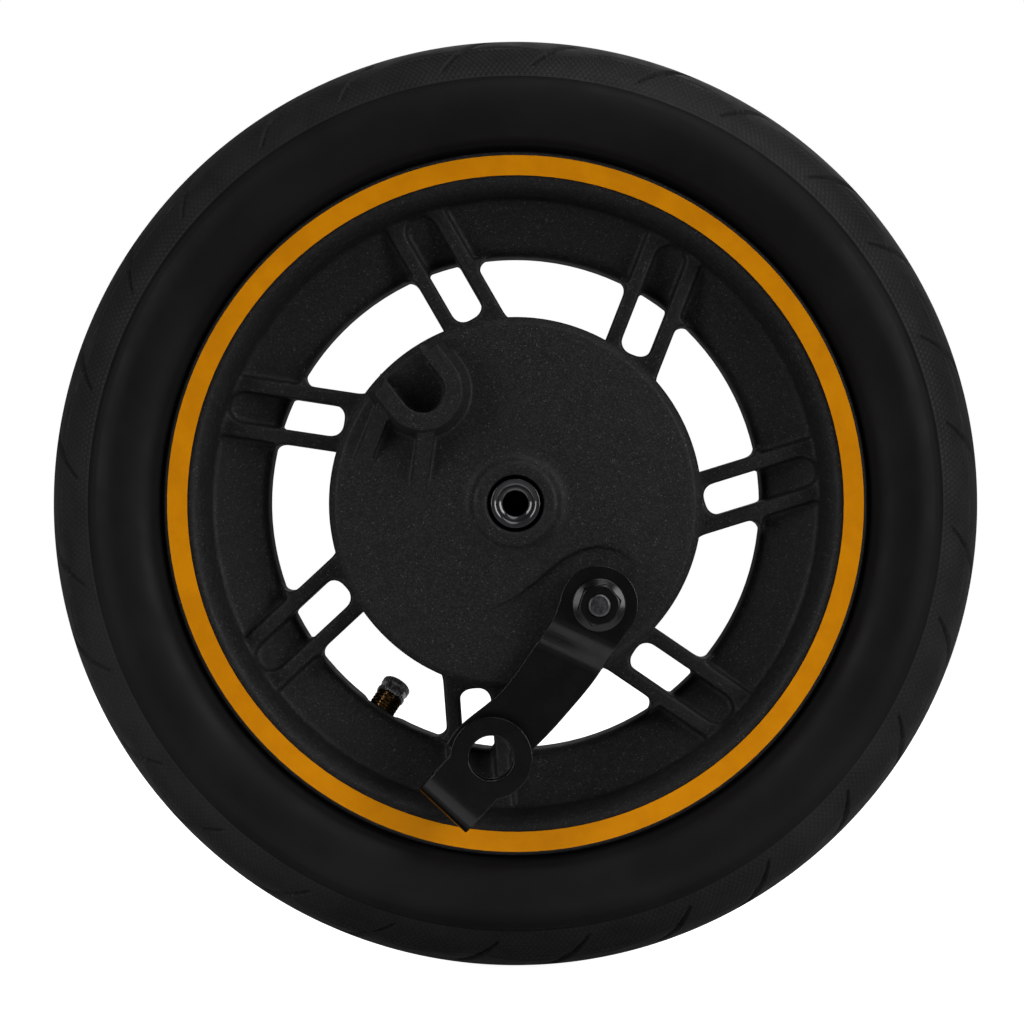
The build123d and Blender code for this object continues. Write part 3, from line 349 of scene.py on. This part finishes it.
def reshaped(node_name, suffix, modifiers):
    """A copy of a CAD piece with Blender modifiers applied, which takes the CAD piece's place."""
    source = frame["nodes"][node_name]
    mesh = source.data.copy()
    mesh.transform(source.matrix_world)
    work = bmesh.new()
    work.from_mesh(mesh)
    bmesh.ops.remove_doubles(work, verts=work.verts, dist=0.002 * MM)
    work.to_mesh(mesh)
    work.free()
    draft = bpy.data.objects.new(node_name + "_draft", mesh)
    bpy.context.scene.collection.objects.link(draft)
    for kind, values in modifiers:
        modifier = draft.modifiers.new(kind.lower(), kind)
        for key, value in values.items():
            setattr(modifier, key, value)
    bpy.context.view_layer.update()
    shaped = bpy.data.meshes.new_from_object(draft.evaluated_get(bpy.context.evaluated_depsgraph_get()))
    bpy.data.objects.remove(draft)
    shaped.name = node_name + suffix
    shaped.materials.clear()
    shaped.materials.append(FINISHES[slot_of[node_name]])
    shaped.polygons.foreach_set("use_smooth", [True] * len(shaped.polygons))
    piece = bpy.data.objects.new(node_name + suffix, shaped)
    bpy.context.scene.collection.objects.link(piece)
    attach(piece, BODY_OF[node_name])
    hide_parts(node_name)
    return piece


def soft_casting(node_name, voxel, rounds):
    """The piece with its edges and corners rounded, as on a casting or a blanked plate under its coat."""
    return reshaped(
        node_name,
        "_soft",
        [
            ("REMESH", {"mode": "VOXEL", "voxel_size": voxel}),
            ("SMOOTH", {"factor": 0.5, "iterations": rounds}),
        ],
    )


def ease_joggle(lever):
    """Turns the lever's sharp joggle into a long soft S, as a pressed strip has it."""
    eye, arm, thick = -37.0, -32.2, 3.0
    start, end = 7.4, 17.0
    pivot, turn = (21.9, -26.6), math.radians(245.1)
    count = len(lever.data.vertices)
    place, normal = np.empty(count * 3), np.empty(count * 3)
    lever.data.vertices.foreach_get("co", place)
    lever.data.vertex_normals.foreach_get("vector", normal)
    place, normal = place.reshape(-1, 3) / MM, normal.reshape(-1, 3)
    along = (place[:, 0] - pivot[0]) * math.cos(turn) + (place[:, 2] - pivot[1]) * math.sin(turn)
    bins = np.arange(start - 0.4, end + 0.41, 0.2)
    faces = []
    for side in (-1, 1):
        level = []
        for station in bins:
            near = (np.abs(along - station) < 0.15) & (normal[:, 1] * side > 0.6)
            level.append(np.median(place[near, 1]))
        faces.append(np.interp(along, bins, level))
    front, back = faces
    t = np.clip((along - start) / (end - start), 0, 1)
    eased = eye + (arm - eye) * (0.5 - 0.5 * np.cos(math.pi * t))
    across = (place[:, 1] - front) / (back - front)
    moved = (along > start - 0.3) & (along < end + 0.3)
    place[:, 1] = np.where(moved, eased + across * thick, place[:, 1])
    lever.data.vertices.foreach_set("co", (place * MM).ravel())
    lever.data.update()


coarse = 1.0
soft_casting("rim_casting", 0.62 * MM * coarse, 7)
soft_casting("brake_plate", 0.40 * MM * coarse, 8)
ease_joggle(soft_casting("brake_lever", 0.20 * MM * coarse, 8))
soft_casting("lever_nut", 0.13 * MM * coarse, 3)
soft_casting("cam_shaft", 0.16 * MM * coarse, 3)

# ---------------------------------------------------------------- turned pieces with threads and knurls


def spun(node_name, suffix, centre, direction, around, section, relief):
    """A ring of section points (radius, station) about an axis; relief adds to the radius at each angle."""
    axis = Vector(direction).normalized()
    side = axis.orthogonal().normalized()
    other = axis.cross(side)
    points = np.array(section, float)
    angles = np.linspace(0, TAU, around, endpoint=False)
    raised = relief(angles[:, None], points[None, :, 1], points[None, :, 0])
    radius = np.maximum(points[None, :, 0] + raised, 0.004)
    along = np.ones((around, 1)) * points[None, :, 1]
    spread = (
        np.array(side)[None, None, :] * np.cos(angles)[:, None, None]
        + np.array(other)[None, None, :] * np.sin(angles)[:, None, None]
    )
    grid = (
        np.array(centre)[None, None, :]
        + spread * radius[:, :, None] * MM
        + np.array(axis)[None, None, :] * along[:, :, None] * MM
    ).reshape(-1, 3)
    faces = ring_faces(around, len(points))
    name, finish, body = node_name + suffix, slot_of[node_name], BODY_OF[node_name]
    piece = add_piece(name, grid.tolist(), faces.tolist(), finish, body, (node_name,))
    piece.data.set_sharp_from_angle(angle=math.radians(38))
    return piece


def dense(first, last, step):
    """Points in a straight line from first to last, about step apart."""
    first, last = np.array(first, float), np.array(last, float)
    count = max(1, int(round(np.linalg.norm(last - first) / step)))
    return [tuple(first + (last - first) * k / count) for k in range(count)]


def thread_wave(angle, station, pitch):
    """A rounded triangular wave along a right-hand helix, 0 at the crest and 1 at the root."""
    turn = (station / pitch + angle / TAU) % 1.0
    return np.clip(1.25 * (1 - np.abs(2 * turn - 1)) - 0.12, 0, 1)


def threaded_axle():
    """The axle, with a rounded lip and a thread in its front end hole."""
    tap_r, lip_r, lip_y, lip_width = 3.4, 6.2, -30.2, 1.9
    section = [(0, -10.2), (tap_r, -12.2)]
    section += dense((tap_r, -14.0), (tap_r, lip_y + 0.3), 0.16)
    section += [(tap_r + 0.1, lip_y + 0.3)]
    for step in range(90, -1, -6):
        turn = math.radians(step)
        section.append((lip_r - lip_width * math.sin(turn), lip_y - lip_width * math.cos(turn)))
    section += [(6.4, -32.0), (6.55, -31.6), (6.55, -17.0), (6.0, -17.0)]
    section += [(6.0, 31.6), (5.4, 32.2), (4.6, 32.2), (3.4, 31.0), (3.4, 12.2), (0, 10.2)]

    def relief(angle, station, radius):
        threaded = (station > -29.7) & (station < -13.0) & (np.abs(radius - tap_r) < 0.01)
        return np.where(threaded, 0.6 * thread_wave(angle, station, 1.25), 0.0)

    return spun("axle", "_turned", (0, 0, 0), (0, 1, 0), 120, section, relief)


VALVE_TURN, VALVE_LEAN = math.radians(236.9), math.radians(28.0)
VALVE_OUT = Vector((math.cos(VALVE_TURN), 0, math.sin(VALVE_TURN)))
VALVE_AXIS = VALVE_OUT * -math.cos(VALVE_LEAN) + Vector((0, math.sin(VALVE_LEAN), 0))
VALVE_SEAT = (VALVE_OUT * 68.9 + Vector((0, 2.0, 0))) * MM


def threaded_stem():
    """The valve's brass stem, with its thread between the rubber body and the cap."""
    section = [(1.9, -6.5), (3.75, -6.5), (3.75, -0.2)]
    section += dense((3.75, 0.0), (3.75, 6.5), 0.1)
    section += [(3.75, 6.5), (3.2, 6.5), (3.2, 10.3), (1.9, 10.3)]

    def relief(angle, station, radius):
        threaded = (station >= 0) & (station < 6.45) & (radius > 3.7)
        return np.where(threaded, -0.45 * thread_wave(angle, station, 0.95), 0.0)

    return spun("valve_stem", "_threaded", VALVE_SEAT, VALVE_AXIS, 96, section, relief)


def knurled_cap():
    """The valve's metal cap: straight knurls in two bands, with a smooth waist between them."""
    section = [(3.25, 6.6), (3.7, 6.6)] + dense((3.9, 6.8), (3.9, 11.0), 0.1)
    section += [(3.9, 11.0), (3.6, 11.25), (0, 11.3), (0, 10.6), (3.2, 10.6)]

    def relief(angle, station, radius):
        band = ((station > 6.9) & (station < 7.9)) | ((station > 9.4) & (station < 10.9))
        waist = (station >= 7.9) & (station <= 9.4)
        knurl = 0.2 * (np.abs(np.sin(angle * 15)) - 0.4)
        return np.where(radius > 3.85, np.where(band, knurl, np.where(waist, -0.12, 0.0)), 0.0)

    return spun("valve_cap", "_knurled", VALVE_SEAT, VALVE_AXIS, 180, section, relief)


threaded_axle()
threaded_stem()
knurled_cap()

# ---------------------------------------------------------------- tyre

# Half section of the tyre in mm, radius and distance from the mid-plane
STEP = (113.2, 26.3)
TREAD_POINTS = [STEP, (117.2, 22.4), (120.6, 17.5), (122.6, 13.2), (123.9, 9.0), (124.75, 4.2), (125.0, 0.0)]
TREAD_LINE = smooth_line(TREAD_POINTS, 60)
TREAD_LENGTH = float(np.hypot(*np.diff(TREAD_LINE, axis=0).T).sum())
SIDE_POINTS = [(95.4, 24.2), (97.0, 26.6), (99.6, 28.4), (103.2, 29.6)]
SIDE_POINTS += [(106.8, 29.95), (110.2, 29.1), (112.3, 27.8)]
SIDE_LINE = smooth_line(SIDE_POINTS, 8)
BEAD_LINE = [(94.3, 22.6), (94.3, 20.4), (84.6, 20.2), (83.5, 19.0), (83.5, 13.0), (85.2, 12.0)]
INNER_LINE = [(88.0, 13.0), (97.0, 19.8), (106.5, 24.2), (115.5, 16.5), (119.2, 8.0), (120.0, 0.0)]

REPEATS = 14
KNURLS_AROUND = 490
KNURL_ROW = 1.4
KNURL_HEIGHT = 0.34
KNURL_BAND = 15.4
GROOVE_DEPTH = 1.5
GROOVE_SPAN = math.radians(7.4)
GROOVE_FROM = 3.6
SECOND_GROOVE = math.radians(11.9)
PATTERN_TURN = math.radians(3.0)


def triangle_wave(x):
    """A wave that is 1 at whole numbers and 0 halfway between them."""
    return 1 - 2 * np.abs(x - np.round(x))


def groove_at(angle, along, start, first, last, span, width):
    """How deep a curved groove is, 0 to 1, at each angle and distance along the half section."""
    t = np.clip((along - first) / (last - first), 0, 1)
    sweep_t = 1 - np.sqrt(1 - np.clip(t, 0, 0.995))
    centre = start + span * (0.35 * t + 0.65 * sweep_t)
    repeat = TAU / REPEATS
    gap = (angle - centre + repeat / 2) % repeat - repeat / 2
    half = (0.22 + width * np.sin(np.clip(t, 0, 1) * math.pi * 0.62) ** 1.3) / 120.0
    inside = 1 - np.clip(np.abs(gap) / half, 0, 1) ** 2.2
    ends = np.clip((along - first) / 1.2, 0, 1) * np.clip((last - along) / 1.2, 0, 1)
    return np.sqrt(np.clip(inside, 0, 1)) * ends


def tread_height(angle, along):
    """Height of the tread over its base in mm: knurls on the shoulder, cut by curved grooves."""
    clockwise = -angle
    x = angle / TAU * KNURLS_AROUND
    s = along / (2 * KNURL_ROW)
    diamond = np.minimum(triangle_wave(x + s), triangle_wave(x - s))
    diamond = np.clip(diamond * 1.7, 0, 1)
    repeat = TAU / REPEATS
    phase = ((clockwise - PATTERN_TURN) % repeat) / repeat
    edge = KNURL_BAND - 3.2 * (0.5 + 0.5 * np.cos(TAU * (phase - 0.62)))
    edge = edge - 1.2 * np.cos(2 * TAU * (phase - 0.1))
    knurl = diamond * np.clip((edge - along) / 0.8, 0, 1) * np.clip(along / 0.7, 0, 1)
    smooth_crown = np.clip((along - edge) / 0.8, 0, 1)
    height = KNURL_HEIGHT * np.maximum(knurl, smooth_crown)
    long_groove = groove_at(
        clockwise, along, PATTERN_TURN, GROOVE_FROM, TREAD_LENGTH - 3.5, GROOVE_SPAN * 1.25, 1.15
    )
    short_start = PATTERN_TURN + SECOND_GROOVE
    short_groove = groove_at(
        clockwise, along, short_start, GROOVE_FROM + 0.6, TREAD_LENGTH - 11.0, GROOVE_SPAN * 0.8, 1.0
    )
    return height - GROOVE_DEPTH * np.maximum(long_groove, short_groove)


def tread_piece(name, side, first, last, row, around, finish):
    """One closed band of tread, from first to last along the half section; side 0 covers both halves."""
    angles = np.linspace(0, TAU, around, endpoint=False)
    count = max(2, int(round((last - first) / row)) + 1)
    along = np.linspace(first, last, count)
    point, normal = resample(TREAD_LINE, along)
    if side == 0:
        point = np.vstack([point, (point * (1, -1))[::-1][1:]])
        normal = np.vstack([normal, (normal * (1, -1))[::-1][1:]])
        along = np.concatenate([along, along[::-1][1:]])
        ways = np.concatenate([np.ones(count), -np.ones(count - 1)])
    else:
        point, normal = point * (1, side), normal * (1, side)
        ways = np.full(count, side)
    height = tread_height(angles[:, None] * np.ones(len(along)), along[None, :]) - KNURL_HEIGHT
    radius = point[None, :, 0] + normal[None, :, 0] * height
    y = point[None, :, 1] + normal[None, :, 1] * height
    # Two inner rows close the band under the surface
    under = np.vstack([point[-1] - 2.4 * normal[-1], point[0] - 2.4 * normal[0]])
    radius = np.hstack([radius, np.ones((around, 1)) * under[None, :, 0]])
    y = np.hstack([y, np.ones((around, 1)) * under[None, :, 1]])
    if side > 0:
        radius, y = radius[:, ::-1], y[:, ::-1]
    return turned(name, angles, radius * MM, y * MM, finish, "wheel")


def carcass():
    """Sidewalls, beads and inside of the tyre, as one closed ring that runs under the tread."""
    under_point, under_normal = resample(TREAD_LINE, np.linspace(0.0, TREAD_LENGTH, 22))
    sunk = under_point - under_normal * 1.95
    step = [(112.7, 27.1), (113.25, 26.2)]
    half = np.vstack([np.array(INNER_LINE[::-1]), np.array(BEAD_LINE[::-1]), SIDE_LINE, np.array(step), sunk])
    loop = np.vstack([half, (half * (1, -1))[::-1][1:-1]])
    around = 720
    angles = np.linspace(0, TAU, around, endpoint=False)
    radius = np.ones((around, 1)) * loop[None, :, 0]
    y = np.ones((around, 1)) * loop[None, :, 1]
    radius, y = radius[:, ::-1], y[:, ::-1]
    return turned("tyre_carcass", angles, radius * MM, y * MM, "tyre_rubber", "wheel", ("tyre",))


TREAD_FINISH = tread_rubber("tread_rubber_finish")
carcass()
BAND_END = 13.3
pieces_of_tread = [
    tread_piece("tread_shoulder_front", -1, 0.0, BAND_END, 0.35, 1960, TREAD_FINISH),
    tread_piece("tread_shoulder_rear", 1, 0.0, BAND_END, 0.35, 1960, TREAD_FINISH),
    tread_piece("tread_crown", 0, BAND_END, TREAD_LENGTH, 0.7, 1540, TREAD_FINISH),
]

# ---------------------------------------------------------------- studio


def area_light(name, place, aim, width, height, power):
    """A rectangular lamp at place, turned towards aim."""
    light = bpy.data.lights.new(name, "AREA")
    light.shape = "RECTANGLE"
    light.size = width
    light.size_y = height
    light.energy = power
    lamp = bpy.data.objects.new(name, light)
    lamp.location = place
    lamp.rotation_mode = "QUATERNION"
    lamp.rotation_quaternion = (Vector(aim) - Vector(place)).to_track_quat("-Z", "Y")
    bpy.context.scene.collection.objects.link(lamp)


area_light("left_strip", (-1.05, -0.80, 0.2), (0, 0, 0), 0.45, 1.3, 13)
area_light("right_strip", (1.05, -0.80, 0.2), (0, 0, 0), 0.45, 1.3, 18)
area_light("top_soft", (0.4, -0.42, 1.25), (0, 0, 0), 1.2, 0.8, 9)
area_light("low_fill", (-0.05, -0.085, -0.119), (-0.05, -0.085, 0), 0.7, 0.08, 0.18)
area_light("rear_soft", (0.3, 1.4, 0.9), (0, 0, 0), 1.2, 1.2, 2.5)

# The world is white to the camera and dim as a light
world = bpy.data.worlds.new("studio")
world.use_nodes = True
world_nodes, world_links = world.node_tree.nodes, world.node_tree.links
paths = world_nodes.new("ShaderNodeLightPath")
dim = world_nodes["Background"]
dim.inputs["Color"].default_value = (0.9, 0.93, 1.0, 1)
dim.inputs["Strength"].default_value = 0.12
pale = world_nodes.new("ShaderNodeBackground")
pale.inputs["Strength"].default_value = 1.0
pale.inputs["Color"].default_value = (1, 1, 1, 1)
choose = world_nodes.new("ShaderNodeMixShader")
world_links.new(paths.outputs["Is Camera Ray"], choose.inputs["Fac"])
world_links.new(dim.outputs["Background"], choose.inputs[1])
world_links.new(pale.outputs["Background"], choose.inputs[2])
world_links.new(choose.outputs["Shader"], world_nodes["World Output"].inputs["Surface"])
bpy.context.scene.world = world

FLOOR_SIDE = 4.0
floor_mesh = bpy.data.meshes.new("floor")
reach = FLOOR_SIDE / 2
floor_corners = [(-reach, -reach, 0), (reach, -reach, 0), (reach, reach, 0), (-reach, reach, 0)]
floor_mesh.from_pydata(floor_corners, [], [(0, 1, 2, 3)])
floor = bpy.data.objects.new("floor", floor_mesh)
floor.location = (0, 0, CAD_LOW[2] - 0.0006)
bpy.context.scene.collection.objects.link(floor)
floor_shade = Shade("floor_finish")
floor_shade.shader.inputs["Emission Color"].default_value = (1, 1, 1, 1)
# The floor is pale to the camera and dimmer in what it throws back on the wheel
seen = floor_shade.nodes.new("ShaderNodeLightPath").outputs["Is Camera Ray"]
floor_shade.set(base=floor_shade.mix(seen, (0.25, 0.25, 0.25), (0.9, 0.9, 0.9)), rough=0.9, specular=0.0)
glow = floor_shade.ramp(seen, 0.0, 1.0, 0.10, 0.95)
floor_shade.links.new(glow, floor_shade.shader.inputs["Emission Strength"])
floor_mesh.materials.append(floor_shade.material)

CAMERA_AWAY = 1.1
camera_data = bpy.data.cameras.new("camera")
camera_data.sensor_width = 36.0
camera_data.lens = 142.6
camera_data.shift_x = -0.0034
camera_data.shift_y = -0.0083
camera = bpy.data.objects.new("camera", camera_data)
camera.location = (0, -CAMERA_AWAY, 0)
camera.rotation_euler = (math.pi / 2, 0, 0)
bpy.context.scene.collection.objects.link(camera)
bpy.context.scene.camera = camera
bpy.context.scene.view_settings.view_transform = "Standard"
